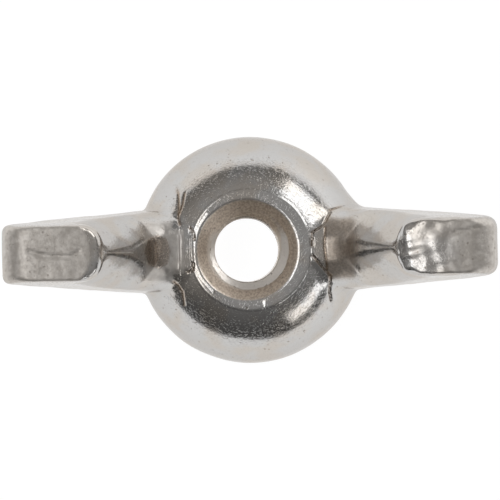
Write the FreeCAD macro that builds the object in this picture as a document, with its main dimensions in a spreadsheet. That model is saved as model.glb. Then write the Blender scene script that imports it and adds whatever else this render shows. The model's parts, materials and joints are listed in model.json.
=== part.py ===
import FreeCAD, Part
import math
import os

import Sketcher
from FreeCAD import Vector

# One-piece cold-forged wing nut with an internal thread of 1/4 inch, 20 turns to the inch.
# Frame: millimetres, +Z up along the thread, +X along the wings, origin at the centre of the bearing face.

DRIVING_SIZES = (
    ("wing_span", 35.8, "over both wing tips"),
    ("overall_height", 18.3, "bearing face to the finger pads"),
    ("hub_radius", 8.9, "widest radius of the domed hub"),
    ("hub_height", 7.15, "bearing face to the flat ring round the mouth"),
    ("hub_band", 0.55, "height at which the dome starts"),
    ("base_edge_round", 0.35, "round on the rim of the bearing face"),
    ("thread_root_radius", 3.2, "thread roots: a nominal 3.175 with clearance"),
    ("thread_pitch", 1.27, "20 turns to the inch"),
    ("top_sink_margin", 0.7, "from the thread roots out to the upper countersink's mouth"),
    ("ring_width", 0.8, "flat ring round the upper countersink"),
    ("base_sink_margin", 0.2, "from the thread roots out to the lower countersink's mouth"),
    ("wing_base_thickness", 7.0, "across a wing, measured at the bearing face"),
    ("wing_pad_thickness", 4.0, "across a wing at the finger pad"),
    ("pad_inner_radius", 10.8, "bore axis to the inner end of a finger pad"),
    ("inner_lean", 18.8, "lean of a wing's inner face from upright, in degrees"),
    ("inner_edge_round", 1.25, "round on the inner edges of a wing"),
    ("rim_round", 0.4, "round along a wing's outer edges and round its finger pad"),
    ("valley_round", 1.9, "hollow between the saddle and a wing's inner face"),
    ("tip_round", 2.2, "round of the wing tip, seen from the side"),
    ("foot_inset", 1.3, "from the hub's widest radius in to the end of a wing's outer edge"),
    ("foot_height", 0.7, "height of that end, inside the hub"),
)

THREAD_FLANK = 30.0         # half of the thread's 60 degree V, in degrees
THREAD_DEPTH_SHARE = 0.52   # depth from crest to root, as a share of the pitch
ROOT_FLAT_SHARE = 0.125     # flat at the thread root, as a share of the pitch
RUNOUT_TURNS = 2            # turns that the thread's cut runs past each face
GROOVE_OVERRUN = 0.12       # how far the groove's section stands inside the crests
CUT_OVERRUN = 1.0           # how far other cuts run past what they cut
BORE_ARCS = 6               # arcs that the drilled hole's outline is drawn with
NEAR = 1e-3                 # two places closer than this are one

START, END, CENTRE = 1, 2, 3    # the sketcher's numbers for a curve's points
ORIGIN = (-1, 1)                # and for a sketch's own origin
UPRIGHT = -2                    # its upright axis
LEVEL = -1                      # and its level one

doc = FreeCAD.newDocument("wing_nut")
sheet = doc.addObject("Spreadsheet::Sheet", "sizes")
for row, (alias, value, note) in enumerate(DRIVING_SIZES, start=1):
    sheet.set("A%d" % row, alias)
    sheet.set("B%d" % row, str(value))
    sheet.set("C%d" % row, note)
    sheet.setAlias("B%d" % row, alias)
doc.recompute()
size = {alias: float(sheet.get(alias)) for alias, value, note in DRIVING_SIZES}

nut = doc.addObject("PartDesign::Body", "wing_nut")
nut.Label = "wing_nut"


def origin_feature(role):
    return next(feature for feature in nut.Origin.OriginFeatures if feature.Role == role)


def new_sketch(name, plane_role):
    sketch = nut.newObject("Sketcher::SketchObject", name)
    sketch.AttachmentSupport = [(origin_feature(plane_role), "")]
    sketch.MapMode = "FlatFace"
    return sketch


def end_near(sketch, curve, place):
    """Which end of a curve lies at a place: an arc's own start may be either."""
    def gap(end):
        point = sketch.getPoint(curve, end)
        return math.hypot(point.x - place[0], point.y - place[1])
    return min((START, END), key=gap)


def join(sketch, kind, *where):
    return sketch.addConstraint(Sketcher.Constraint(kind, *where))


def draw_loop(sketch, steps):
    """Draws a closed outline and returns its curves. A step is (start, middle, smooth): a line runs from its start
    to the next step's start, or an arc through middle; smooth makes it tangent to the step before."""
    curves = []
    for (start, middle, smooth), following in zip(steps, steps[1:] + steps[:1]):
        places = [Vector(*place, 0) for place in (start, middle, following[0]) if place]
        curve = Part.Arc(*places) if middle else Part.LineSegment(*places)
        curves.append(sketch.addGeometry(curve, False))
    for k, (start, middle, smooth) in enumerate(steps):
        before, after = curves[k - 1], curves[k]
        kind = "Tangent" if smooth else "Coincident"
        join(sketch, kind, before, end_near(sketch, before, start), after, end_near(sketch, after, start))
    return curves


def bind(sketch, name, expression, kind, *where):
    """A named dimension of a sketch that follows the sheet."""
    sketch.renameConstraint(join(sketch, kind, *where), name)
    sketch.setExpression("Constraints." + name, expression)


def bind_point(sketch, name, curve, end, across=None, up=None):
    """Holds a point at (across, up) from the origin, each an expression."""
    here = sketch.getPoint(curve, end)
    if across:
        bind(sketch, name + "_across", across, "DistanceX", *ORIGIN, curve, end, here.x)
    if up:
        bind(sketch, name + "_up", up, "DistanceY", *ORIGIN, curve, end, here.y)


def checked(feature):
    doc.recompute()
    failed = [state for state in feature.State if state in ("Invalid", "Error")]
    if failed or feature.Shape.isNull() or not feature.Shape.isValid():
        raise RuntimeError("%s failed: %s" % (feature.Label, feature.State))
    shape = feature.Shape
    print("%-16s volume %8.2f mm3, %3d faces" % (feature.Label, shape.Volume, len(shape.Faces)))
    return feature


def new_feature(kind, name, profile):
    feature = nut.newObject("PartDesign::" + kind, name)
    feature.Profile = profile
    feature.Refine = False
    return feature


# ---- One wing, seen from the side ----
# Saddle level with the hub's top, hollow, inner face, finger pad, rounded tip, outer edge, and the part in the hub.

hub_radius = size["hub_radius"]
hub_top = size["hub_height"]
top = size["overall_height"]
lean = math.radians(size["inner_lean"])
hollow = size["valley_round"]
hollow_turn = math.radians(90) - lean
inner_height = top - hub_top - hollow * (1 - math.cos(hollow_turn))
saddle_end = size["pad_inner_radius"] - inner_height * math.tan(lean) - hollow * math.sin(hollow_turn)
tip_round = size["tip_round"]
tip_centre = (size["wing_span"] / 2 - tip_round, top - tip_round)
foot = (hub_radius - size["foot_inset"], size["foot_height"])
foot_bearing = math.atan2(foot[1] - tip_centre[1], foot[0] - tip_centre[0])
tip_turn = foot_bearing + math.acos(tip_round / math.dist(tip_centre, foot))


def in_hollow(turn):
    """A point of the hollow, from its end on the saddle, after a turn of the tangent."""
    return (saddle_end + hollow * math.sin(turn), hub_top + hollow * (1 - math.cos(turn)))


def on_tip(angle):
    return (tip_centre[0] + tip_round * math.cos(angle), tip_centre[1] + tip_round * math.sin(angle))


wing_side = new_sketch("wing_side", "XZ_Plane")
saddle_line, hollow_arc, inner_line, pad_line, tip_arc, outer_line, foot_line, middle_line = draw_loop(wing_side, [
    ((0, hub_top), None, False),
    (in_hollow(0), in_hollow(hollow_turn / 2), True),
    (in_hollow(hollow_turn), None, True),
    ((size["pad_inner_radius"], top), None, False),
    ((tip_centre[0], top), on_tip((math.radians(90) + tip_turn) / 2), True),
    (on_tip(tip_turn), None, True),
    (foot, None, False),
    ((0, size["foot_height"]), None, False),
])
for level_line in (saddle_line, pad_line, foot_line):
    join(wing_side, "Horizontal", level_line)
for end in (START, END):
    join(wing_side, "PointOnObject", middle_line, end, UPRIGHT)
bind_point(wing_side, "saddle", saddle_line, START, up="sizes.hub_height")
bind_point(wing_side, "pad_inner", pad_line, START, "sizes.pad_inner_radius", "sizes.overall_height")
bind_point(wing_side, "tip_centre", tip_arc, CENTRE, "sizes.wing_span / 2 - sizes.tip_round")
bind_point(wing_side, "foot", foot_line, START, "sizes.hub_radius - sizes.foot_inset", "sizes.foot_height")
bind(wing_side, "hollow", "sizes.valley_round", "Radius", hollow_arc, hollow)
bind(wing_side, "tip", "sizes.tip_round", "Radius", tip_arc, tip_round)
bind(wing_side, "lean", "90 deg - sizes.inner_lean * 1 deg", "Angle", inner_line, hollow_turn)

wing_blank = new_feature("Pad", "wing_blank", wing_side)
wing_blank.SideType = "Symmetric"
wing_blank.setExpression("Length", "sizes.wing_base_thickness + 2 * %s" % CUT_OVERRUN)
checked(wing_blank)

# ---- Flanks: both sides of the wing lean in towards the finger pad, as a forging die leaves them ----

half_base = size["wing_base_thickness"] / 2
half_pad = size["wing_pad_thickness"] / 2
HALF_BASE = "sizes.wing_base_thickness / 2"
HALF_GAIN = "(sizes.wing_base_thickness - sizes.wing_pad_thickness) / 2 / sizes.overall_height"


def half_thickness(height):
    return half_base + (half_pad - half_base) * height / top


flank_trim = new_sketch("flank_trim", "YZ_Plane")
above = top + CUT_OVERRUN
beside = half_base + 2 * CUT_OVERRUN
ABOVE = "sizes.overall_height + %s" % CUT_OVERRUN
BELOW = "-1 * %s" % CUT_OVERRUN
for name, sign in (("left", -1), ("right", 1)):
    low_in, high_in, high_out, low_out = draw_loop(flank_trim, [
        ((sign * half_thickness(-CUT_OVERRUN), -CUT_OVERRUN), None, False),
        ((sign * half_thickness(above), above), None, False),
        ((sign * beside, above), None, False),
        ((sign * beside, -CUT_OVERRUN), None, False),
    ])
    outside = "%d * (%s + %s)" % (sign, HALF_BASE, 2 * CUT_OVERRUN)
    at_base = "%d * (%s + %s * %s)" % (sign, HALF_BASE, HALF_GAIN, CUT_OVERRUN)
    at_pad = "%d * (%s - %s * (%s))" % (sign, HALF_BASE, HALF_GAIN, ABOVE)
    bind_point(flank_trim, name + "_low_in", low_in, START, at_base, BELOW)
    bind_point(flank_trim, name + "_high_in", high_in, START, at_pad, ABOVE)
    bind_point(flank_trim, name + "_high_out", high_out, START, outside, ABOVE)
    bind_point(flank_trim, name + "_low_out", low_out, START, outside, BELOW)

wing_flanks = new_feature("Pocket", "wing_flanks", flank_trim)
wing_flanks.Type = "ThroughAll"
wing_flanks.SideType = "Symmetric"
checked(wing_flanks)

# ---- Rounds along the wing's edges ----


def edges_where(shape, test):
    """Names of the edges whose middle passes a test."""
    names = []
    for number, edge in enumerate(shape.Edges, start=1):
        middle = edge.valueAt((edge.FirstParameter + edge.LastParameter) / 2)
        if test(middle):
            names.append("Edge%d" % number)
    return names


def on_flank(point):
    return abs(abs(point.y) - half_thickness(point.z)) < NEAR


def is_inner_edge(middle):
    inner_face = size["pad_inner_radius"] - (top - middle.z) * math.tan(lean)
    return on_flank(middle) and abs(middle.x - inner_face) < NEAR and middle.z > hub_top


def is_outer_edge(middle):
    beyond_pad = middle.x > tip_centre[0] - NEAR
    return on_flank(middle) and beyond_pad and size["foot_height"] + NEAR < middle.z < top - NEAR


def add_round(name, alias, test):
    base = nut.Tip
    rounded = nut.newObject("PartDesign::Fillet", name)
    rounded.Base = (base, edges_where(base.Shape, test))
    rounded.Refine = False
    rounded.setExpression("Radius", "sizes." + alias)
    checked(rounded)


add_round("inner_rounds", "inner_edge_round", is_inner_edge)
add_round("rim_rounds", "rim_round", is_outer_edge)

# ---- The other wing is the mirror of the first ----

both_wings = nut.newObject("PartDesign::Mirrored", "both_wings")
both_wings.TransformMode = "Whole shape"
both_wings.MirrorPlane = (origin_feature("YZ_Plane"), [""])
both_wings.Refine = False
nut.Tip = both_wings
checked(both_wings)

# ---- Hub: bearing face, short band, dome and the flat ring round the mouth ----

root = size["thread_root_radius"]
band_top = size["hub_band"]
base_round = size["base_edge_round"]
top_mouth = root + size["top_sink_margin"]
ring = top_mouth + size["ring_width"]
TOP_MOUTH = "sizes.thread_root_radius + sizes.top_sink_margin"

# The dome leaves the band upright and ends at the ring, which sets its radius.
dome_rise = hub_top - band_top
dome_run = hub_radius - ring
dome_radius = (dome_run ** 2 + dome_rise ** 2) / (2 * dome_run)
half_turn = math.asin(dome_rise / dome_radius) / 2
dome_middle = (hub_radius - dome_radius * (1 - math.cos(half_turn)), band_top + dome_radius * math.sin(half_turn))
rim_middle = base_round * (1 - math.sqrt(0.5))

hub_side = new_sketch("hub_side", "XZ_Plane")
base_line, rim_arc, band_line, dome_arc, ring_line, hub_axis = draw_loop(hub_side, [
    ((0, 0), None, False),
    ((hub_radius - base_round, 0), (hub_radius - rim_middle, rim_middle), True),
    ((hub_radius, base_round), None, True),
    ((hub_radius, band_top), dome_middle, True),
    ((ring, hub_top), None, False),
    ((0, hub_top), None, False),
])
join(hub_side, "Coincident", base_line, START, *ORIGIN)
join(hub_side, "PointOnObject", hub_axis, START, UPRIGHT)
join(hub_side, "Vertical", band_line)
for level_line in (base_line, ring_line):
    join(hub_side, "Horizontal", level_line)
bind(hub_side, "rim", "sizes.base_edge_round", "Radius", rim_arc, base_round)
bind_point(hub_side, "band", band_line, END, "sizes.hub_radius", "sizes.hub_band")
bind_point(hub_side, "ring", ring_line, START, TOP_MOUTH + " + sizes.ring_width", "sizes.hub_height")

hub = new_feature("Revolution", "hub", hub_side)
hub.ReferenceAxis = (hub_side, ["V_Axis"])
hub.Angle = 360
checked(hub)

# ---- Drilled hole, drawn as short arcs so that each length of thread crest is a face of its own ----

pitch = size["thread_pitch"]
bore = root - THREAD_DEPTH_SHARE * pitch
BORE = "(sizes.thread_root_radius - %s * sizes.thread_pitch)" % THREAD_DEPTH_SHARE


def on_bore(turns):
    return (bore * math.cos(2 * math.pi * turns), bore * math.sin(2 * math.pi * turns))


bore_outline = new_sketch("bore_outline", "XY_Plane")
bore_curves = draw_loop(bore_outline, [
    (on_bore(k / BORE_ARCS), on_bore((k + 0.5) / BORE_ARCS), False) for k in range(BORE_ARCS)
])
for curve in (bore_curves[0], bore_curves[-1]):
    bind(bore_outline, "bore_%d" % curve, BORE, "Radius", curve, bore)
for k, curve in enumerate(bore_curves):
    across, up = on_bore(k / BORE_ARCS)
    start = end_near(bore_outline, curve, (across, up))
    if curve != bore_curves[-1]:
        join(bore_outline, "Coincident", curve, CENTRE, *ORIGIN)
    if abs(up) < NEAR:
        join(bore_outline, "PointOnObject", curve, start, LEVEL)
    else:
        bind_point(bore_outline, "arc_%d" % k, curve, start, "%s * %s" % (BORE, round(across / bore, 6)))

drilled_hole = new_feature("Pocket", "drilled_hole", bore_outline)
drilled_hole.Type = "ThroughAll"
drilled_hole.SideType = "Symmetric"
checked(drilled_hole)

# ---- Countersinks at both mouths, 90 degrees across ----

BASE_MOUTH = "sizes.thread_root_radius + sizes.base_sink_margin"
base_mouth = root + size["base_sink_margin"]
sinks = new_sketch("countersinks", "XZ_Plane")
for name, mouth, face, MOUTH, FACE, out in (
    ("top", top_mouth, hub_top, TOP_MOUTH, "sizes.hub_height", 1),
    ("base", base_mouth, 0, BASE_MOUTH, "0", -1),
):
    outer = face + out * CUT_OVERRUN
    lid, side, axis = draw_loop(sinks, [
        ((0, outer), None, False),
        ((mouth + CUT_OVERRUN, outer), None, False),
        ((0, face - out * mouth), None, False),
    ])
    join(sinks, "Horizontal", lid)
    for end in (START, END):
        join(sinks, "PointOnObject", axis, end, UPRIGHT)
    WIDE, OUTER = "%s + %s" % (MOUTH, CUT_OVERRUN), "%s + %s" % (FACE, out * CUT_OVERRUN)
    bind_point(sinks, name + "_lid", side, START, WIDE, OUTER)
    bind_point(sinks, name + "_point", axis, START, up="%s - %d * (%s)" % (FACE, out, MOUTH))

countersunk = new_feature("Groove", "countersunk", sinks)
countersunk.ReferenceAxis = (sinks, ["V_Axis"])
countersunk.Angle = 360
checked(countersunk)

# ---- Thread: a right-hand helical groove between the crests that the drill left ----

inner = bore - GROOVE_OVERRUN
root_half = ROOT_FLAT_SHARE * pitch / 2
inner_half = root_half + (root - inner) * math.tan(math.radians(THREAD_FLANK))
groove_start = -RUNOUT_TURNS * pitch
INNER = "(%s - %s)" % (BORE, GROOVE_OVERRUN)
ROOT_HALF = "%s * sizes.thread_pitch" % (ROOT_FLAT_SHARE / 2)
INNER_HALF = "(%s + (sizes.thread_root_radius - %s) * tan(%s deg))" % (ROOT_HALF, INNER, THREAD_FLANK)
GROOVE_START = "%d * sizes.thread_pitch" % -RUNOUT_TURNS

thread_section = new_sketch("thread_section", "XZ_Plane")
lower_flank, root_flat, upper_flank, open_side = draw_loop(thread_section, [
    ((inner, groove_start - inner_half), None, False),
    ((root, groove_start - root_half), None, False),
    ((root, groove_start + root_half), None, False),
    ((inner, groove_start + inner_half), None, False),
])
for name, curve, ACROSS, UP in (
    ("inner_low", lower_flank, INNER, GROOVE_START + " - " + INNER_HALF),
    ("root_low", root_flat, "sizes.thread_root_radius", GROOVE_START + " - " + ROOT_HALF),
    ("root_high", upper_flank, "sizes.thread_root_radius", GROOVE_START + " + " + ROOT_HALF),
    ("inner_high", open_side, INNER, GROOVE_START + " + " + INNER_HALF),
):
    bind_point(thread_section, name, curve, START, ACROSS, UP)

thread = new_feature("SubtractiveHelix", "thread", thread_section)
thread.ReferenceAxis = (thread_section, ["V_Axis"])
thread.Mode = "pitch-height-angle"
thread.LeftHanded = False
thread.setExpression("Pitch", "sizes.thread_pitch")
thread.setExpression("Height", "sizes.hub_height + %d * sizes.thread_pitch" % (2 * RUNOUT_TURNS))
checked(thread)
if thread.Shape.Volume >= countersunk.Shape.Volume - NEAR:
    raise RuntimeError("the thread cut nothing")

nut.Placement = FreeCAD.Placement()
doc.recompute()
broken = [item.Label for item in doc.Objects if {"Invalid", "Error"} & set(item.State)]
if broken or len(nut.Shape.Solids) != 1:
    raise RuntimeError("not whole: %s" % broken)

os.makedirs("parts", exist_ok=True)
nut.Shape.exportStep("parts/%s.step" % nut.Label)
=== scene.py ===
# %% [markdown]
# # A forged wing nut
# A wing nut is one piece of metal: a domed hub with a thread through it, and two wings that fingers turn.
# It is forged between dies, so nothing on it is a separate part, and every edge is a little round. This
# lesson builds its skin, its nickel finish and a small studio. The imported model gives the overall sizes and
# the thread.

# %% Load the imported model
import json
import math

import bpy
import numpy as np
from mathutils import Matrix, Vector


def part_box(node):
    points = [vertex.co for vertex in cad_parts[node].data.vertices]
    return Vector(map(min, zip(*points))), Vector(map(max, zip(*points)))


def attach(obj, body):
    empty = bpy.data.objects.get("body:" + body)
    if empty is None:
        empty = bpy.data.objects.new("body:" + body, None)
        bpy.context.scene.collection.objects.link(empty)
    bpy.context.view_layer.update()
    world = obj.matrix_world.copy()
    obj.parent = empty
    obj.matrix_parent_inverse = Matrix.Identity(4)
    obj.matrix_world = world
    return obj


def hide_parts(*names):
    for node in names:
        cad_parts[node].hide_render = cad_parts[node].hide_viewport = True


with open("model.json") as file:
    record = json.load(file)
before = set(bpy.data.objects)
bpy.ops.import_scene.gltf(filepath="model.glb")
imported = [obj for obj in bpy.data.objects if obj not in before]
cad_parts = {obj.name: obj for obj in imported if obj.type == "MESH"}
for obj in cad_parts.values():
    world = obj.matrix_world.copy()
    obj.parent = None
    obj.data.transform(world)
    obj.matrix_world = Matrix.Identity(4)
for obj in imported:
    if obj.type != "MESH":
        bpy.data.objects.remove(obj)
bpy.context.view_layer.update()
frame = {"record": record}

import openvdb

# %% [markdown]
# ## Sizes
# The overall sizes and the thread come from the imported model, so the skin fits it wherever it stands. The
# rest are the die's own sizes. A maker thinks in millimetres, so all of it is worked out in millimetres,
# and the skin is scaled to metres only when it becomes a Blender object.

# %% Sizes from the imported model
METRE = 0.001
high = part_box("wing_nut")[1] / METRE
HALF_SPAN = high.x
HUB_RADIUS = high.y
TOP = high.z
THREAD = next(mount for mount in frame["record"]["mounts"] if mount["name"] == "thread")
CREST = THREAD["dims"]["r_mm"]
print("span %.1f, hub %.1f, height %.1f, crests %.2f" % (2 * HALF_SPAN, 2 * HUB_RADIUS, TOP, 2 * CREST))

# %% Sizes of the hub and its hole
PITCH = 1.27
THREAD_DEPTH = 0.66
ROOT = CREST + THREAD_DEPTH
HUB_TOP = 7.15
BAND = 0.55               # height of the upright band under the dome
TOP_MOUTH = ROOT + 0.6    # radius at which the upper countersink opens
RING = TOP_MOUTH + 0.9    # outer radius of the flat ring round it
BASE_MOUTH = ROOT + 0.2
print("hub %.2f high, thread roots %.2f, ring %.2f to %.2f" % (HUB_TOP, 2 * ROOT, 2 * TOP_MOUTH, 2 * RING))

# %% Sizes of the wings
HALF_BASE = 3.5           # half a wing's thickness at the base
HALF_PAD = 2.0            # and at the finger pad
PAD_INNER = 10.8          # how far out the pad begins
LEAN = math.radians(18.8)
TIP_ROUND = 2.2
FOOT = (HUB_RADIUS - 1.3, 0.7)    # where the outer edge would end, out and up, inside the hub
print("wings %.1f thick at the base, %.1f at the pads" % (2 * HALF_BASE, 2 * HALF_PAD))

# %% [markdown]
# ## Shape as a distance
# A forging could be pieced together from revolved and lofted surfaces, but the hollows where they meet
# would then be patched by hand. Here each face is a distance instead: a number that is negative in the
# metal, positive outside and zero on the surface. Two faces that meet take the larger number, two lumps
# that join take the smaller one, and a blend width turns a sharp meeting into a round. One formula then
# gives the whole nut.

# %% Rounding helpers
ROUND = 1.17              # blend width for a round of radius 1 between square faces


def corner(a, b, width):
    """Where two faces meet: the larger distance, rounded over a width."""
    blend = np.maximum(width - np.abs(a - b), 0) / width
    return np.maximum(a, b) + blend * blend * width / 4


def hollow(a, b, width):
    """Where two lumps join: the smaller distance, filled over a width."""
    return -corner(-a, -b, width)


def ease(value, start, end):
    """0 before start, 1 after end, and a smooth step between them."""
    share = np.clip((value - start) / (end - start), 0, 1)
    return share * share * (3 - 2 * share)


square = corner(np.float64(-0.1), np.float64(-0.1), 0.4)
print("a square corner between two faces at -0.1 mm: %.2f" % square)

# %% [markdown]
# ## The hub
# The hub is a short upright band that turns into a dome and ends at a flat ring. Seen from the side that is
# a line, an arc and a line, so its distance needs only the radius and the height of a point. The arc's
# radius isn't chosen: it follows from leaving the band upright and reaching the ring. Near the top the dome
# is sunk a little below the ring's edge, which leaves a low collar.

# %% Hub distance
DOME_RUN = HUB_RADIUS - RING
DOME_RISE = HUB_TOP - BAND
DOME = (DOME_RUN ** 2 + DOME_RISE ** 2) / (2 * DOME_RUN)
COLLAR_STEP = 0.09
COLLAR_FOOT = 5.0
COLLAR_FULL = 6.9
COLLAR_EDGE = 0.24
COLLAR_HOLLOW = 0.06
DOME_EDGE = 0.15
BASE_EDGE = 0.35 * ROUND


def hub_distance(x, y, z):
    """The band, the dome and the collar, cut off level at the base and the top."""
    radius = np.hypot(x, y)
    sunk = COLLAR_STEP * ease(z, COLLAR_FOOT, COLLAR_FULL)
    dome = np.hypot(radius - (HUB_RADIUS - DOME), z - BAND) - DOME + sunk
    side = np.where(z > BAND, dome, radius - HUB_RADIUS)
    collar = corner(radius - RING, z - HUB_TOP, COLLAR_EDGE)
    body = corner(side, z - HUB_TOP, DOME_EDGE)
    body = hollow(body, np.maximum(collar, COLLAR_FOOT - z), COLLAR_HOLLOW)
    return corner(body, -z, BASE_EDGE)


dome_lean = math.degrees(math.asin(DOME_RISE / DOME))
print("dome radius %.2f mm, leaning %.0f degrees at the ring" % (DOME, dome_lean))

# %% [markdown]
# ## The outline of a wing
# Seen from the side a wing has a nearly level finger pad, a big round at the tip and a straight outer edge
# down to the hub. The straight edge has to leave the round without a kink, so the bearing at which it
# leaves is worked out from the two ends instead of being typed in. The pads sag a little towards the hub,
# more on the right.

# %% Outline of a wing
TIP_CENTRE = (HALF_SPAN - TIP_ROUND, TOP - TIP_ROUND)
foot_bearing = math.atan2(FOOT[1] - TIP_CENTRE[1], FOOT[0] - TIP_CENTRE[0])
TIP_TURN = foot_bearing + math.acos(TIP_ROUND / math.dist(TIP_CENTRE, FOOT))
LEFT_SAG = 0.10
RIGHT_SAG = 0.34
SAG_START = 14.4
SAG_LENGTH = 2.8


def pad_height(x):
    """The height of the finger pads, which sag a little towards the hub."""
    sag = np.where(x > 0, RIGHT_SAG, LEFT_SAG)
    return TOP - sag * np.clip((SAG_START - np.abs(x)) / SAG_LENGTH, 0, 1.5) ** 2


def wing_outline(x, z):
    """The pad, the round at the tip and the outer edge, seen from the side."""
    across = np.abs(x) - TIP_CENTRE[0]
    up = z - TIP_CENTRE[1]
    edge = across * math.cos(TIP_TURN) + up * math.sin(TIP_TURN) - TIP_ROUND
    bearing = np.arctan2(up, across)
    on_tip = (bearing > TIP_TURN) & (bearing < math.pi / 2)
    return np.where(on_tip, np.hypot(across, up) - TIP_ROUND, np.maximum(edge, z - pad_height(x)))


print("outer edge leans %.0f degrees" % math.degrees(math.pi / 2 + TIP_TURN))

# %% [markdown]
# ## The inner side of a wing
# The inner side stands out most along the middle, probably where the two halves of the die met, and falls
# back to both sides like a roof. Its flat middle is a thin line under the pad and a broad patch at the
# foot. Just below the pad the roof gives way to a curled lip. A span is a pair of heights: where a change
# starts and where it is complete.

# %% Inner side of a wing
ROOF_FALL = 1.1
ROOF_ROUND = 0.2
RIGHT_ROOF = 1.12         # the right wing falls back a little more
FOOT_LEVELLING = 0.6      # how much of the fall is lost at the foot
LIP = 0.75
RIDGE_AT_PAD = 0.10       # half the width of the flat middle
RIDGE_TAPER = 0.30
LEFT_PATCH = 0.65
RIGHT_PATCH = 0.25
SADDLE_PATCH = 0.3
TAPER_SPAN = (17.0, 10.0)
LEFT_PATCH_SPAN = (12.4, 8.0)
RIGHT_PATCH_SPAN = (11.6, 8.6)
SADDLE_PATCH_SPAN = (7.9, 7.2)
LEVELLING_SPAN = (9.6, 6.8)
LIP_SPAN = (TOP - 2.8, TOP - 0.8)


def ridge_width(x, z):
    """Half the width of the flat middle, which widens on the way down."""
    taper = RIDGE_AT_PAD + RIDGE_TAPER * ease(z, *TAPER_SPAN)
    left = LEFT_PATCH * ease(z, *LEFT_PATCH_SPAN)
    right = RIGHT_PATCH * ease(z, *RIGHT_PATCH_SPAN)
    return taper + np.where(x < 0, left, right) + SADDLE_PATCH * ease(z, *SADDLE_PATCH_SPAN)


def roof(x, side, z):
    """How far the inner side falls back beside its flat middle."""
    past = side - ridge_width(x, z)
    fall = (np.sqrt(past ** 2 + ROOF_ROUND ** 2) + past) / 2
    low = ROOF_FALL * fall * (1 - FOOT_LEVELLING * ease(z, *LEVELLING_SPAN))
    low = low * np.where(x > 0, RIGHT_ROOF, 1.0)
    lip = LIP * (side / HALF_PAD) ** 3
    return low + (lip - low) * ease(z, *LIP_SPAN)


half_way_up = roof(*map(np.float64, (-9.0, 2.7, 12.0)))
print("half way up, the roof falls back %.2f mm at the flank" % half_way_up)

# %% [markdown]
# ## The wings
# Each wing is a flat slab that gets thinner upwards, because the metal has to leave the die. At the foot
# its inner side turns over a hollow into a saddle on top of the hub. Both wings are struck in one pair of
# dies, so the formula uses the distance from the middle plane and makes both at once.

# %% Rim of a wing
PAD_EDGE = 0.2
INNER_EDGE = 0.38
FLANK_EDGE = 0.3
LEFT_TIP_EDGE = 0.45
RIGHT_TIP_EDGE = 0.8
INNER_SPAN = (PAD_INNER + 1.5, PAD_INNER + 0.8)
LOWER_SPAN = (TOP - 2, TOP - 4)
TIP_SPAN = (TIP_CENTRE[0] - 0.3, HALF_SPAN - 0.4)


def half_thickness(z):
    """Half a wing's thickness at a height."""
    return HALF_BASE + (HALF_PAD - HALF_BASE) * z / TOP


def rim_width(x, z):
    """The round of the rim: tight along the pad, wider at its inner end, lower down and at the tip."""
    out = np.abs(x)
    rim = PAD_EDGE + INNER_EDGE * ease(out, *INNER_SPAN) + FLANK_EDGE * ease(z, *LOWER_SPAN)
    return rim + np.where(x > 0, RIGHT_TIP_EDGE, LEFT_TIP_EDGE) * ease(out, *TIP_SPAN)


print("a wing is %.2f mm thick half way up" % (2 * half_thickness(TOP / 2)))

# %% Wing distance
VALLEY = 1.9
VALLEY_BLEND = VALLEY * ROUND * (1 - math.sin(LEAN))
SADDLE_DROP = 0.5         # the saddle dives under the ring
SADDLE_RUN = 0.4
CHEEK_EDGE = 0.6
CHEEK_EDGE_LOW = 0.7
CHEEK_SPAN = (9.5, 7.0)


def wing_distance(x, y, z):
    """Both wings, with the saddles that carry them onto the hub."""
    out = np.abs(x)
    side = np.abs(y)
    face = (PAD_INNER - out) * math.cos(LEAN) + (z - TOP) * math.sin(LEAN)
    saddle = HUB_TOP - SADDLE_DROP * ease(out, RING, RING - SADDLE_RUN)
    inner = hollow(face, z - saddle, VALLEY_BLEND) + roof(x, side, z)
    cheek = CHEEK_EDGE + CHEEK_EDGE_LOW * ease(z, *CHEEK_SPAN)
    slab = corner(inner, side - half_thickness(z), cheek)
    return corner(slab, wing_outline(x, z), rim_width(x, z))


print("distance 1 mm above a pad:", round(float(wing_distance(*map(np.float64, (14.5, 0.0, TOP + 1)))), 3))

# %% [markdown]
# ## The threaded hole
# The hole is drilled, opened out by a cone at each end, and tapped. The thread is a groove that climbs one
# pitch in each turn. Its distance comes from unrolling the turn: a point's height, less the climb for its
# bearing, is folded into one pitch, and what is left says how far the point is from the middle of the
# groove. The hole isn't quite in the middle of the hub: it is nearer to the left wing, a little more so at
# the base.

# %% Hole distance
FLANK = math.radians(30)
ROOT_FLAT = PITCH / 8
SINK = math.radians(45)
SINK_REACH = 0.2
OFF_CENTRE = 0.2
DRIFT = 0.1
CREST_STOCK = 0.10        # the crests stand this much further in, before the marks take some off
CREST_EDGE = 0.05


def hole_distance(x, y, z):
    """The tapped hole and its two countersinks, negative where there is no metal."""
    x = x + OFF_CENTRE + DRIFT * (1 - z / HUB_TOP)
    radius = np.hypot(x, y)
    climb = PITCH * np.arctan2(y, x) / (2 * math.pi)
    off_middle = np.abs((z - climb + PITCH / 2) % PITCH - PITCH / 2)
    groove_side = (off_middle - ROOT_FLAT / 2 - (ROOT - radius) * math.tan(FLANK)) * math.cos(FLANK)
    thread_groove = np.maximum(groove_side, radius - ROOT)
    tapped = hollow(radius - CREST + CREST_STOCK, thread_groove, CREST_EDGE)
    top_cone = (radius - TOP_MOUTH + HUB_TOP - z) * math.sin(SINK)
    top_sink = np.maximum(top_cone, radius - TOP_MOUTH - SINK_REACH)
    base_sink = (radius - BASE_MOUTH + z) * math.sin(SINK)
    return np.minimum(tapped, np.minimum(top_sink, base_sink))


print("thread climbs %.2f mm in a turn, %.2f mm deep" % (PITCH, THREAD_DEPTH))

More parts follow.
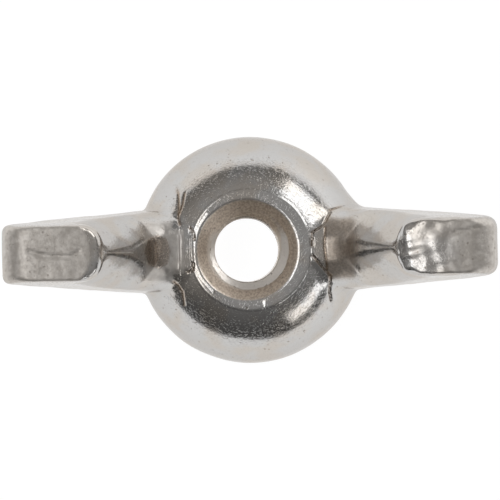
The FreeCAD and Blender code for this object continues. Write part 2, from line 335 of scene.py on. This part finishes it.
# %% [markdown]
# ## The whole forging
# Hub and wings join over small hollows, because metal flows into a die corner only so far. The hollow is
# larger in one of the four corners, perhaps because the die was dressed more there. The hole is cut last,
# as in the factory: cutting is the larger of the two distances, with the hole's sign turned round.

# %% Forging distance
ROOT_HOLLOW = 0.55
BIG_HOLLOW = 1.4
BIG_OUT = (3.0, 5.0)      # where the large hollow begins and is complete
BIG_BACK = (0.5, 1.5)
BIG_DOWN = (6.5, 3.5)
TIGHTER_ON_TOP = 0.75
TIGHTER_SPAN = (5.8, 6.8)
GROUND_EDGE = 0.25
HOLE_EDGE = 0.045
MOUTH_EDGE = 0.1
MOUTH_SPAN = (6.7, 7.0)


def root_hollow(x, y, z):
    """The width of the hollow between hub and wings: tight on top, larger behind the right wing."""
    big_corner = ease(x, *BIG_OUT) * ease(y, *BIG_BACK) * ease(z, *BIG_DOWN)
    width = ROOT_HOLLOW * (1 - TIGHTER_ON_TOP * ease(z, *TIGHTER_SPAN))
    return width + (BIG_HOLLOW - ROOT_HOLLOW) * big_corner


def forging(x, y, z):
    """The whole nut without its marks."""
    blank = hollow(hub_distance(x, y, z), wing_distance(x, y, z), root_hollow(x, y, z))
    blank = corner(blank, -z, GROUND_EDGE)
    return corner(blank, -hole_distance(x, y, z), HOLE_EDGE + MOUTH_EDGE * ease(z, *MOUTH_SPAN))


print("distance at the saddle's middle:", round(float(forging(*map(np.float64, (5.2, 0.0, 7.15)))), 3))

# %% [markdown]
# ## Laps and ridges
# Where metal from the hub and the wings meets in the die it folds into laps, which are thin crooked
# grooves, and squeezes up into low ridges beside them. Both could be painted on, but a groove that is
# really cut catches the light from every side. Each is a line of points seen from above, with a width and a
# depth.

# %% Laps and ridges
LAPS = (
    # left wing, back to front
    (((-5.6, 5.0), (-5.4, 4.4), (-5.35, 3.6), (-5.4, 2.5), (-5.3, 2.0)), 0.10, 0.06),
    (((-4.9, 4.4), (-5.05, 3.6), (-5.3, 2.9)), 0.09, 0.03),
    (((-4.55, 1.75), (-4.3, 1.4), (-4.2, 0.9)), 0.09, 0.12),
    (((-4.35, -0.9), (-4.35, -1.4), (-4.8, -1.6)), 0.09, 0.10),
    (((-5.85, -2.3), (-5.5, -2.6), (-5.2, -3.1), (-5.1, -4.1)), 0.10, 0.06),
    # right wing
    (((4.75, 0.2), (4.75, 1.2), (5.6, 1.75), (6.15, 2.7)), 0.09, 0.14),
    (((4.75, -0.5), (5.5, -1.4), (6.1, -2.1), (6.0, -3.3), (6.15, -4.0), (7.1, -5.0)), 0.09, 0.15),
    (((6.1, 2.9), (7.0, 3.2), (8.0, 3.7)), 0.07, 0.06),
    (((5.75, 1.6), (5.65, 0.3), (5.8, -1.5)), 0.10, 0.05),
)
SCORES = (
    # the left pad, the right pad, and a nick in the ring
    (((-15.7, 0.2), (-15.0, -0.05), (-14.2, -0.2), (-12.8, -0.25), (-12.2, 0.1)), 0.20, 0.065),
    (((14.6, 1.0), (15.6, 1.15), (16.3, 1.3)), 0.14, 0.05),
    (((0.95, -3.9), (0.95, -5.7)), 0.05, 0.02),
)
RIDGES = (
    # across the left saddle, beside its ring, and round the left of the countersink
    (((-5.25, 1.6), (-5.15, 0.9), (-5.2, -0.6), (-5.35, -1.8)), 0.16, 0.045),
    (((-4.47, 1.0), (-4.45, 0.0), (-4.35, -0.8)), 0.12, 0.035),
    (((-3.13, 2.75), (-3.80, 1.75), (-4.10, 0.85), (-4.10, -0.95), (-3.70, -1.95), (-2.76, -3.05)),
     0.13, 0.035),
)


def groove(x, y, path, width, depth):
    """A groove seen from above, along a crooked line of points."""
    nearest = np.full_like(x, 99.0)
    for (ax, ay), (bx, by) in zip(path, path[1:]):
        length_squared = (bx - ax) ** 2 + (by - ay) ** 2
        along = np.clip(((x - ax) * (bx - ax) + (y - ay) * (by - ay)) / length_squared, 0, 1)
        nearest = np.minimum(nearest, np.hypot(x - ax - along * (bx - ax), y - ay - along * (by - ay)))
    return depth * np.exp(-(nearest / width) ** 2)


print("%d laps, the deepest %.2f mm" % (len(LAPS), max(depth for _, _, depth in LAPS)))

# %% [markdown]
# ## Uneven metal
# A forged face is never flat: it wanders slowly, and the finger pads have small dents besides, such as nuts
# get from tumbling against each other. A few plane waves of mixed length, direction and phase add up to
# bumps that don't repeat. The draws come from a seeded generator, so the nut is the same each time.

# %% Waves
rng = np.random.default_rng(7)


def waves(count, shortest, longest):
    """Random smooth bumps: plane waves of mixed length, direction and phase."""
    headings = rng.normal(size=(count, 3))
    headings /= np.linalg.norm(headings, axis=1)[:, None]
    lengths = rng.uniform(shortest, longest, count)
    return headings * (2 * math.pi / lengths)[:, None], rng.uniform(0, 2 * math.pi, count)


def bumps(pattern, x, y, z):
    """The sum of the waves, about -1 to 1."""
    turns, phases = pattern
    total = sum(np.sin(t[0] * x + t[1] * y + t[2] * z + p) for t, p in zip(turns, phases))
    return total / math.sqrt(len(phases))


DENTS = waves(18, 0.6, 1.7)
UNEVEN = waves(10, 2.5, 7.0)
print("first dent wave points along", np.round(DENTS[0][0], 2))

# %% Marks
UNEVENNESS = 0.018
DENT_LEFT = 0.009
DENT_RIGHT = 0.008
DENT_HAMMERED = 0.030
BUMP_FLOOR = 1.5          # keeps the bumps from adding metal
HAMMERED_SPAN = (15.5, 13.5)
MARKED_SPAN = (4.0, 5.0)
PAD_SPAN = (TOP - 1.5, TOP - 0.7)
TONGUE_STEP = 0.07


def marks(x, y, z):
    """How much metal the laps, scores, dents and unevenness take away."""
    cut = UNEVENNESS * np.maximum(BUMP_FLOOR + bumps(UNEVEN, x, y, z), 0)
    on_top = ease(z, *MARKED_SPAN)
    for path, width, depth in LAPS + SCORES:
        cut = cut + on_top * groove(x, y, path, width, depth)
    for path, width, depth in RIDGES:
        cut = cut - on_top * groove(x, y, path, width, depth)
    on_pad = ease(z, *PAD_SPAN)
    dented = np.where(x > 0, DENT_HAMMERED * ease(np.abs(x), *HAMMERED_SPAN) + DENT_RIGHT, DENT_LEFT)
    cut = cut + on_pad * dented * np.maximum(BUMP_FLOOR + bumps(DENTS, x, y, z), 0)
    raised = ease(-x, 5.28, 5.40) * ease(-x, 6.5, 6.1) * ease(np.abs(y), 2.2, 1.5) * ease(z, 6.0, 6.8)
    return cut - TONGUE_STEP * raised


def finished(x, y, z):
    """The nut with its marks, still flat underneath."""
    return np.maximum(forging(x, y, z) + marks(x, y, z), -z)


print("metal taken from a plain spot of the dome: %.3f mm" % marks(*map(np.float64, (0.0, 6.5, 5.0))))

# %% [markdown]
# ## From distance to mesh
# Blender's own volume library turns a grid of distances into four-sided faces, laid where the distance is
# zero. Between two grid points it can only guess, so each vertex is then moved along the slope of the
# formula until its own distance is zero. The slope also gives exact normals, which keep a fine mesh from
# looking faceted.

# %% Slope and settling
SLOPE_WIDTH = 0.01
SETTLING_ROUNDS = 4
LEAST_STEEP = 0.2         # keeps a move finite where the formula is nearly flat


def slope(shape, points):
    """The direction in which a distance grows, at each point."""
    columns = []
    for axis in range(3):
        nudge = np.zeros(3)
        nudge[axis] = SLOPE_WIDTH
        ahead = shape(*(points + nudge).T)
        behind = shape(*(points - nudge).T)
        columns.append((ahead - behind) / (2 * SLOPE_WIDTH))
    return np.stack(columns, axis=1)


def settle(shape, points, reach):
    """Move points along the slope until their distance is zero."""
    for _ in range(SETTLING_ROUNDS):
        direction = slope(shape, points)
        steepness = np.maximum((direction ** 2).sum(axis=1), LEAST_STEEP)
        move = (shape(*points.T) / steepness)[:, None] * direction
        points = points - np.clip(move, -reach, reach)
    return points


print("slope on top of the ring:", np.round(slope(forging, np.array([[0.0, 4.3, 7.15]]))[0], 2))

# %% Faces where the distance is zero
STEP = 0.16
MARGIN = 0.4
BAND_STEPS = 3            # how many grid steps the distances reach on each side
LOWEST = (-HALF_SPAN - MARGIN, -HUB_RADIUS - MARGIN, -MARGIN)
HIGHEST = (HALF_SPAN + MARGIN, HUB_RADIUS + MARGIN, TOP + MARGIN)


def skin(shape, lowest, highest, step):
    """Four-sided faces over the zero surface of a distance."""
    counts = [int(math.ceil((b - a) / step)) + 1 for a, b in zip(lowest, highest)]
    lines = [a + step * np.arange(count) for a, count in zip(lowest, counts)]
    x, y = np.meshgrid(lines[0], lines[1], indexing="ij")
    grid = openvdb.FloatGrid(BAND_STEPS * step)
    for layer, z in enumerate(lines[2]):
        values = np.clip(shape(x, y, np.full_like(x, z)), -BAND_STEPS * step, BAND_STEPS * step)
        grid.copyFromArray(values.astype(np.float32)[:, :, None], ijk=(0, 0, layer))
    corners, quads = grid.convertToQuads(isovalue=0.0)
    return np.asarray(lowest) + step * corners.astype(float), quads.astype(int)


coarse, quads = skin(forging, LOWEST, HIGHEST, STEP)
coarse = settle(forging, coarse, STEP / 2)
print("%d faces, settled to %.4f mm" % (len(quads), np.abs(forging(*coarse.T)).mean()))

# %% [markdown]
# ## Finer faces where they are needed
# The laps, the ring's edge and the countersink's mouth are narrower than a face. A finer grid everywhere
# would make a heavy mesh, so only the faces there are divided into four. A neighbour of a divided face gets
# the new corners as well, and so the skin stays closed.

# %% Divide chosen faces
def divide(points, quads, chosen):
    """Divide the chosen quads into four, and give their neighbours the extra corners."""
    edges = np.stack([quads, np.roll(quads, -1, axis=1)], axis=2)
    keys = np.sort(edges, axis=2)
    keys = keys[..., 0] * len(points) + keys[..., 1]
    split = np.unique(keys[chosen])
    middles = (points[split // len(points)] + points[split % len(points)]) / 2
    centres = points[quads[chosen]].mean(axis=1)
    first_middle = len(points)
    centre = first_middle + len(split)
    place = np.searchsorted(split, keys)
    is_split = split[np.minimum(place, len(split) - 1)] == keys
    faces = []
    rows = zip(quads.tolist(), chosen.tolist(), place.tolist(), is_split.tolist())
    for quad, picked, spot, cut in rows:
        if picked:
            for k in range(4):
                faces.append((quad[k], first_middle + spot[k], centre, first_middle + spot[k - 1]))
            centre += 1
        elif any(cut):
            ring = []
            for k in range(4):
                ring.append(quad[k])
                if cut[k]:
                    ring.append(first_middle + spot[k])
            faces.append(tuple(ring))
        else:
            faces.append(tuple(quad))
    return np.concatenate([points, middles, centres]), faces


LAP_REACH = 0.35
LAP_LEVEL = 0.3
RING_REACH = 0.25
MOUTH_REACH = 0.2
LOWEST_DIVIDED = 4.9
HIGHEST_DIVIDED = 8.3
mx, my, mz = coarse[quads].mean(axis=1).T
near_laps = sum(groove(mx, my, path, LAP_REACH, 1.0) for path, _, _ in LAPS + RIDGES) > LAP_LEVEL
near_ring = np.abs(np.hypot(mx, my) - RING + 0.1) < RING_REACH
near_mouth = np.abs(np.hypot(mx + OFF_CENTRE, my) - TOP_MOUTH) < MOUTH_REACH
chosen = (near_laps | near_ring | near_mouth) & (mz > LOWEST_DIVIDED) & (mz < HIGHEST_DIVIDED)
fine, faces = divide(coarse, quads, chosen)
print("divided %d of %d faces" % (chosen.sum(), len(quads)))

# %% [markdown]
# ## The skin as a Blender object
# Now the marks are cut: the divided mesh settles on the finished formula, and its slope becomes the
# normals. The piece rides on the nut's only body and stands in for its imported shape.

# %% Forged skin
def make_piece(name, points, faces, normals):
    """A Blender object in metres from points in millimetres."""
    mesh = bpy.data.meshes.new(name)
    mesh.from_pydata(points * METRE, [], faces)
    mesh.shade_smooth()
    mesh.normals_split_custom_set_from_vertices(normals)
    piece = bpy.data.objects.new(name, mesh)
    bpy.context.collection.objects.link(piece)
    return piece


fine = settle(finished, fine, STEP / 2)
rise = slope(finished, fine)
skin_normals = rise / np.linalg.norm(rise, axis=1)[:, None]
nut = make_piece("forged_skin", fine, faces, skin_normals)
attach(nut, "root")
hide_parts("wing_nut")
print("skin: %d vertices, %d faces, %d triangles" % (len(fine), len(faces), sum(len(f) - 2 for f in faces)))

# %% [markdown]
# ## Where the finish changes
# Bright nickel covers all of it, but it is stained in the laps and in a patch at each wing's foot, cut dull
# in the countersink and rubbed matt on the finger pads, and one side of the thread carries a painted
# highlight in near-white. These areas follow the shape, so they are worked out from each vertex's place and
# kept on the mesh as four numbers between 0 and 1.

# %% Places on the skin
def store(mesh, name, values):
    """Keep one number for each vertex, for the material to read."""
    mesh.attributes.new(name, "FLOAT", "POINT").data.foreach_set("value", values.astype(np.float32))


px, py, pz = fine.T
facing_up = skin_normals[:, 2]
out_from_middle = np.abs(px)
off_line = np.abs(py)
off_axis = np.hypot(px + OFF_CENTRE, py)
on_hub_top = ease(pz, 4.5, 5.5)
print("%d vertices face up" % np.sum(facing_up > 0.9))

# %% Stained laps and roots
STAIN_SPREAD = 1.2
LEFT_STAIN = 0.65
RIGHT_STAIN = 0.6
BOWL_PLACE = 6.95
BOWL_HALF_LENGTH = 0.85
BOWL_HALF_WIDTH = 1.2
bowl_x = np.abs(out_from_middle - BOWL_PLACE) / BOWL_HALF_LENGTH
bowl_y = off_line / BOWL_HALF_WIDTH
bowl = ease(np.maximum(bowl_x, bowl_y) + 0.35 * np.minimum(bowl_x, bowl_y), 1.2, 1.0)
bowl = bowl * (px < 0) * ease(pz, 11.0, 10.0)
root = ease(out_from_middle, 5.7, 6.0) * ease(out_from_middle, 8.3, 7.6)
root = root * ease(off_line, 2.6, 2.0) * ease(pz, 10.5, 9.0) * on_hub_top
stained = sum(groove(px, py, path, STAIN_SPREAD * width, 1.0) for path, width, _ in LAPS) * on_hub_top
stained = stained + LEFT_STAIN * bowl * on_hub_top + np.where(px > 0, RIGHT_STAIN * root, 0)
store(nut.data, "stain", np.clip(stained, 0, 1))
print("stained share %.3f" % np.mean(stained > 0.5))

# %% Cut metal in the hole, and a painted highlight on the thread
THREAD_HIGHLIGHT = 0.85
cut_metal = ease(off_axis, TOP_MOUTH + 0.08, TOP_MOUTH - 0.02) * ease(pz, 4.6, 5.2)
# Painted highlight: the upper turns of the thread on one side are given a near-white colour and a smoother
# finish
thread_highlight_mask = ease(off_axis, ROOT + 0.25, ROOT + 0.1) * ease(pz, 6.5, 6.2) * ease(py, 1.8, 0.8)
store(nut.data, "tooled", cut_metal)
# The "thread" number marks the painted highlight on one side of the thread, not bare metal
store(nut.data, "thread", THREAD_HIGHLIGHT * thread_highlight_mask)
print("cut share %.3f, thread share %.3f" % (np.mean(cut_metal > 0.5), np.mean(thread_highlight_mask > 0.5)))

# %% Rubbed pads and roots
RIGHT_PAD_MATT = 0.45
ROOT_MATT = 0.7
pad_end = out_from_middle - LIP * (off_line / HALF_PAD) ** 3
matt = ease(pz, TOP - 1.7, TOP - 0.9) * ease(facing_up, 0.1, 0.45)
matt = matt * np.where(px > 0, RIGHT_PAD_MATT + (1 - RIGHT_PAD_MATT) * ease(px, 13.8, 15.4), 1.0)
matt = matt * ease(pad_end, 11.35, 11.55)
tongue = ease(-px, 4.9, 5.1) * ease(-px, 6.4, 6.0) * ease(off_line, 1.9, 1.5) * on_hub_top
store(nut.data, "matt", np.clip(matt + ROOT_MATT * np.maximum(root, tongue) * (1 - bowl), 0, 1))
print("matt share %.3f" % np.mean(matt > 0.5))

# %% [markdown]
# ## Nickel
# Nickel is a warm grey metal. A barrel-plated fixing is never a perfect mirror: it has fine pits, short
# scratches from its neighbours and patches that are a little duller. All of that is made from noise, which
# stays sharp from any distance and needs no unwrapping, and the four numbers on the skin say where the
# finish changes.

# %% Material and its helpers
nickel = bpy.data.materials.new("nickel_plate")
nickel.use_nodes = True
plate = nickel.node_tree
shader = plate.nodes["Principled BSDF"]
shader.inputs["Metallic"].default_value = 1.0
shader.inputs["Specular Tint"].default_value = (0.8, 0.78, 0.76, 1)


def plate_node(kind, **settings):
    """A new node of the nickel, with its settings."""
    node = plate.nodes.new(kind)
    for name, value in settings.items():
        setattr(node, name, value)
    return node


def plug(value, socket):
    """A number stays on the socket; an output is linked to it."""
    if isinstance(value, (int, float, tuple)):
        socket.default_value = value
    else:
        plate.links.new(value, socket)


def calc(operation, first, second=0.0, clamp=False):
    """One sum on two values or outputs."""
    node = plate_node("ShaderNodeMath", operation=operation, use_clamp=clamp)
    plug(first, node.inputs[0])
    plug(second, node.inputs[1])
    return node.outputs[0]


print("nickel starts from:", shader.name)

# %% More node helpers
MIX_SHARE = 0             # sockets of the colour mix
MIX_FIRST = 6
MIX_SECOND = 7
MIX_RESULT = 2


def ramp(value, start, end):
    """A smooth step from 0 to 1 between two values."""
    node = plate_node("ShaderNodeMapRange", interpolation_type="SMOOTHSTEP")
    plug(value, node.inputs["Value"])
    plug(float(start), node.inputs["From Min"])
    plug(float(end), node.inputs["From Max"])
    return node.outputs[0]


def mixed(share, first, second):
    """One colour where the share is 0, the other where it is 1."""
    node = plate_node("ShaderNodeMix", data_type="RGBA")
    plug(share, node.inputs[MIX_SHARE])
    plug(first, node.inputs[MIX_FIRST])
    plug(second, node.inputs[MIX_SECOND])
    return node.outputs[MIX_RESULT]


def mask(name):
    """A number kept on the skin."""
    return plate_node("ShaderNodeAttribute", attribute_name=name).outputs["Fac"]


print("a colour mix uses sockets", MIX_SHARE, MIX_FIRST, MIX_SECOND, "and gives", MIX_RESULT)

# %% [markdown]
# ## Grain, patches, pits and scratches
# Each kind of flaw is noise of its own size, fixed to the nut and given in millimetres. Pits and scratches
# are the few places where the noise is lowest or highest, so a ramp cuts them out of it. A scratch is the
# same noise drawn out nine times as long in one direction.

# %% Flaws of the plating
STREAK_LENGTH = 9
place = plate_node("ShaderNodeTexCoord").outputs["Object"]


def noise(size, detail=2.0, streak=None):
    """Noise whose bumps are about a size in millimetres across, or long streaks at an angle."""
    node = plate_node("ShaderNodeTexNoise")
    node.inputs["Scale"].default_value = 1 / (size * METRE)
    node.inputs["Detail"].default_value = detail
    if streak is None:
        plug(place, node.inputs["Vector"])
    else:
        turn = plate_node("ShaderNodeMapping", vector_type="TEXTURE")
        turn.inputs["Rotation"].default_value = (0.2, 0.3, math.radians(streak))
        turn.inputs["Scale"].default_value = (STREAK_LENGTH, 1, 1)
        plug(place, turn.inputs["Vector"])
        plug(turn.outputs[0], node.inputs["Vector"])
    return node.outputs["Fac"]


SCRATCH_LIMITS = (0.70, 0.74)
patches = noise(2.5, 3)
grain = noise(0.16, 2)
mottle = noise(0.4, 4)
pits = ramp(noise(0.28, 1), 0.30, 0.24)
specks = ramp(noise(0.13, 1), 0.60, 0.68)
rising = ramp(noise(0.12, 0, 65), *SCRATCH_LIMITS)
falling = ramp(noise(0.12, 0, 140), *SCRATCH_LIMITS)
scratches = calc("ADD", rising, falling, clamp=True)
print("flaws: %d nodes" % len(plate.nodes))

# %% [markdown]
# ## Colour of the metal
# A metal's base colour is the tint of what it reflects. Clean plating shifts slightly between grey and warm
# grey. Rubbed, cut and stained metal each have a darker and a lighter tone that the noise mixes, and the
# numbers on the skin lay them one over the other: rubbed, cut, the near-white painted highlight on one side
# of the thread, stained, and the pits last.

# %% Colour
GREY = (0.555, 0.548, 0.540, 1)
WARM_GREY = (0.555, 0.520, 0.480, 1)
RUBBED_DARK = (0.55, 0.515, 0.475, 1)
RUBBED_LIGHT = (0.67, 0.635, 0.595, 1)
CUT_DARK = (0.60, 0.51, 0.43, 1)
CUT_LIGHT = (0.82, 0.73, 0.63, 1)
# Painted highlight: a near-white tone that stands in for the light seen on one side of the thread
THREAD_HIGHLIGHT_TONE = (0.97, 0.93, 0.88, 1)
STAIN_DARK = (0.22, 0.165, 0.12, 1)
STAIN_LIGHT = (0.40, 0.32, 0.25, 1)
PIT_TONE = (0.30, 0.26, 0.22, 1)
PIT_SHARE = 0.6
GRAIN_LIMITS = (0.35, 0.65)
PATCH_LIMITS = (0.40, 0.62)
stain = mask("stain")
tooled = mask("tooled")
matt_share = mask("matt")
thread_highlight = mask("thread")
clean = mixed(ramp(patches, *PATCH_LIMITS), GREY, WARM_GREY)
turned = mixed(ramp(grain, *GRAIN_LIMITS), CUT_DARK, CUT_LIGHT)
brown = mixed(ramp(grain, *GRAIN_LIMITS), STAIN_DARK, STAIN_LIGHT)
pad_tone = mixed(ramp(mottle, *GRAIN_LIMITS), RUBBED_DARK, RUBBED_LIGHT)
colour = mixed(matt_share, clean, pad_tone)
colour = mixed(tooled, colour, turned)
# Lay the painted highlight over one side of the thread
colour = mixed(thread_highlight, colour, THREAD_HIGHLIGHT_TONE)
colour = mixed(stain, colour, brown)
colour = mixed(calc("MULTIPLY", pits, PIT_SHARE), colour, PIT_TONE)
plug(colour, shader.inputs["Base Color"])
print("colour: %d nodes" % len(plate.nodes))

# %% [markdown]
# ## Roughness of the metal
# Roughness decides how sharp the reflections are. Clean plating is almost a mirror, a little duller in
# patches. Rubbed and cut metal scatter much more, and scratches and stains a little more.

# %% Roughness
POLISH = 0.085
PATCH_DULL = 0.08
RUBBED_DULL = 0.34
CUT_DULL = 0.30
THREAD_SHINE = 0.08
SCRATCH_DULL = 0.12
STAIN_DULL = 0.12
polish = calc("ADD", POLISH, calc("MULTIPLY", patches, PATCH_DULL))
cut_dull = calc("SUBTRACT", calc("MULTIPLY", tooled, CUT_DULL), calc("MULTIPLY", thread_highlight, THREAD_SHINE))
dull = calc("ADD", calc("MULTIPLY", matt_share, RUBBED_DULL), cut_dull)
worn = calc("ADD", calc("MULTIPLY", scratches, SCRATCH_DULL), calc("MULTIPLY", stain, STAIN_DULL))
plug(calc("ADD", calc("ADD", polish, dull), worn), shader.inputs["Roughness"])
print("roughness: %.3f on clean metal at its smoothest" % POLISH)

# %% [markdown]
# ## Relief of the metal
# Grain, pits and scratches are only a few thousandths of a millimetre deep, far finer than a face, so they
# are bump and not mesh. Everything deeper was cut into the mesh above.

# %% Relief
RELIEF_DEPTH = 0.009      # millimetres for a height of 1
GRAIN_HEIGHT = 0.8
MOTTLE_HEIGHT = 0.5
SCRATCH_DEPTH = 0.25
SPECK_DEPTH = 0.45
RUBBED_HEIGHT = 2.2
height = calc("ADD", calc("MULTIPLY", grain, GRAIN_HEIGHT), calc("MULTIPLY", mottle, MOTTLE_HEIGHT))
height = calc("SUBTRACT", height, calc("ADD", pits, calc("MULTIPLY", scratches, SCRATCH_DEPTH)))
height = calc("SUBTRACT", height, calc("MULTIPLY", specks, SPECK_DEPTH))
rubbed_bumps = calc("MULTIPLY", matt_share, noise(0.35, 3))
height = calc("ADD", height, calc("MULTIPLY", rubbed_bumps, RUBBED_HEIGHT))
relief = plate_node("ShaderNodeBump")
relief.inputs["Strength"].default_value = 1.0
relief.inputs["Distance"].default_value = RELIEF_DEPTH * METRE
plug(height, relief.inputs["Height"])
plug(relief.outputs["Normal"], shader.inputs["Normal"])
nut.data.materials.append(nickel)
print("nickel: %d nodes" % len(plate.nodes))

# %% [markdown]
# ## Floor and room
# Polished metal has almost no colour of its own: it shows the room. The floor is bright paper that glows a
# little, so the steep sides of the nut, which look down at it, come out pale. The room above is dim, so
# faces that look up come out dark, and the edge between the two is the horizon. It is a little brighter
# behind, where the paper sweeps up. The camera itself sees only plain white.

# %% Floor
FLOOR_REACH = 2.0
PAPER = (0.1, 0.1, 0.1, 1)
PAPER_GLOW = 0.95
floor_corners = [(-FLOOR_REACH, -FLOOR_REACH, 0), (FLOOR_REACH, -FLOOR_REACH, 0),
                 (FLOOR_REACH, FLOOR_REACH, 0), (-FLOOR_REACH, FLOOR_REACH, 0)]
floor_mesh = bpy.data.meshes.new("studio_floor")
floor_mesh.from_pydata(floor_corners, [], [(0, 1, 2, 3)])
floor = bpy.data.objects.new("studio_floor", floor_mesh)
bpy.context.collection.objects.link(floor)
paper = bpy.data.materials.new("lit_paper")
paper.use_nodes = True
paper_shader = paper.node_tree.nodes["Principled BSDF"]
paper_shader.inputs["Base Color"].default_value = PAPER
paper_shader.inputs["Emission Color"].default_value = (1, 1, 1, 1)
paper_shader.inputs["Emission Strength"].default_value = PAPER_GLOW
floor_mesh.materials.append(paper)
print("floor: %.0f m square" % (2 * FLOOR_REACH))

# %% World and its helpers
world = bpy.data.worlds.new("dim_room")
bpy.context.scene.world = world
world.use_nodes = True
sky = world.node_tree
backdrop = sky.nodes["Background"]
backdrop.inputs["Color"].default_value = (1.0, 0.98, 0.96, 1)
direction = sky.nodes.new("ShaderNodeSeparateXYZ")
sky.links.new(sky.nodes.new("ShaderNodeTexCoord").outputs["Generated"], direction.inputs["Vector"])


def sky_plug(value, socket):
    """A number stays on the socket; an output is linked to it."""
    if isinstance(value, (int, float)):
        socket.default_value = value
    else:
        sky.links.new(value, socket)


def sky_math(operation, first, second):
    """One sum on two values or outputs of the room."""
    node = sky.nodes.new("ShaderNodeMath")
    node.operation = operation
    sky_plug(first, node.inputs[0])
    sky_plug(second, node.inputs[1])
    return node.outputs[0]


def sky_step(value, start, end, low=0.0, high=1.0):
    """A smooth step from low to high between two values."""
    node = sky.nodes.new("ShaderNodeMapRange")
    node.interpolation_type = "SMOOTHSTEP"
    sky_plug(value, node.inputs["Value"])
    for name, number in zip(("From Min", "From Max", "To Min", "To Max"), (start, end, low, high)):
        node.inputs[name].default_value = number
    return node.outputs[0]


print("world:", world.name)

# %% Room
WALLS = 0.20              # brightness high on the walls, and of the ceiling
CEILING = 0.37
CEILING_SPAN = (0.2, 0.65)
FRONT_SPAN = (-0.75, 0.1)
FRONT_SHARE = 0.45        # the front of the room is darker
SWEEP_RISE = 0.13         # how much higher the paper reaches behind
SWEEP_HEIGHT = 0.02
SWEEP_SOFT = 0.03
up = direction.outputs["Z"]
back = direction.outputs["Y"]
overhead = sky_step(up, *CEILING_SPAN, WALLS, CEILING)
above = sky_math("MULTIPLY", overhead, sky_step(back, *FRONT_SPAN, FRONT_SHARE, 1.0))
sweep_top = sky_math("ADD", sky_math("MULTIPLY", back, SWEEP_RISE), SWEEP_HEIGHT)
sweep = sky_step(sky_math("SUBTRACT", up, sweep_top), SWEEP_SOFT, -SWEEP_SOFT)
seen = sky.nodes.new("ShaderNodeLightPath").outputs["Is Camera Ray"]
level = sky_math("MAXIMUM", sky_math("MAXIMUM", above, sweep), seen)
sky.links.new(level, backdrop.inputs["Strength"])
print("room: %d nodes" % len(sky.nodes))

# %% [markdown]
# ## Lights
# Two soft lights low on the right draw the two bright patches on the dome. A third, high on the left, is
# seen only by faces that are nearly level: the dented pad and the edge of the ring. Each is given as the
# brightness of its face, so its size can change without changing how it looks in the metal.

# %% Lights
LAMP_DISTANCE = 0.8


def soft_light(name, bearing, climb, width, height, brightness):
    """A rectangle of light that faces the nut, placed by its bearing and its climb in degrees."""
    light = bpy.data.lights.new(name, "AREA")
    light.shape = "RECTANGLE"
    light.size = width
    light.size_y = height
    light.energy = brightness * math.pi * width * height
    lamp = bpy.data.objects.new(name, light)
    bearing = math.radians(bearing)
    climb = math.radians(climb)
    lamp.location = (LAMP_DISTANCE * math.cos(climb) * math.cos(bearing),
                     LAMP_DISTANCE * math.cos(climb) * math.sin(bearing),
                     LAMP_DISTANCE * math.sin(climb))
    lamp.rotation_euler = (-lamp.location).to_track_quat("-Z", "Y").to_euler()
    lamp.visible_camera = False
    bpy.context.collection.objects.link(lamp)
    print("%s: %.1f W" % (name, light.energy))


soft_light("key_light", 42, 25, 0.55, 0.30, 1.9)
soft_light("fill_light", -42, 19, 0.55, 0.16, 1.7)
soft_light("high_left_light", 180, 65, 0.5, 0.36, 1.8)

# %% [markdown]
# ## Camera
# The camera looks straight down the thread from 190 mm. That is close enough for the wing tips, which are
# nearer to it, to be drawn at a larger scale than the hub. The nut lies turned by about a degree, so the
# camera is rolled by as much. The lens follows from how much of the floor should fill the frame.

# %% Camera
CAMERA_HEIGHT = 0.190
FLOOR_IN_VIEW = 0.0394
ROLL = 1.1
SENSOR = 36
camera_data = bpy.data.cameras.new("camera")
camera_data.sensor_width = SENSOR
camera_data.lens = SENSOR * CAMERA_HEIGHT / FLOOR_IN_VIEW
camera = bpy.data.objects.new("camera", camera_data)
camera.location = (0, 0, CAMERA_HEIGHT)
camera.rotation_euler = (0, 0, math.radians(-ROLL))
bpy.context.collection.objects.link(camera)
bpy.context.scene.camera = camera
bpy.context.scene.view_settings.view_transform = "Standard"
print("lens: %.0f mm" % camera_data.lens)
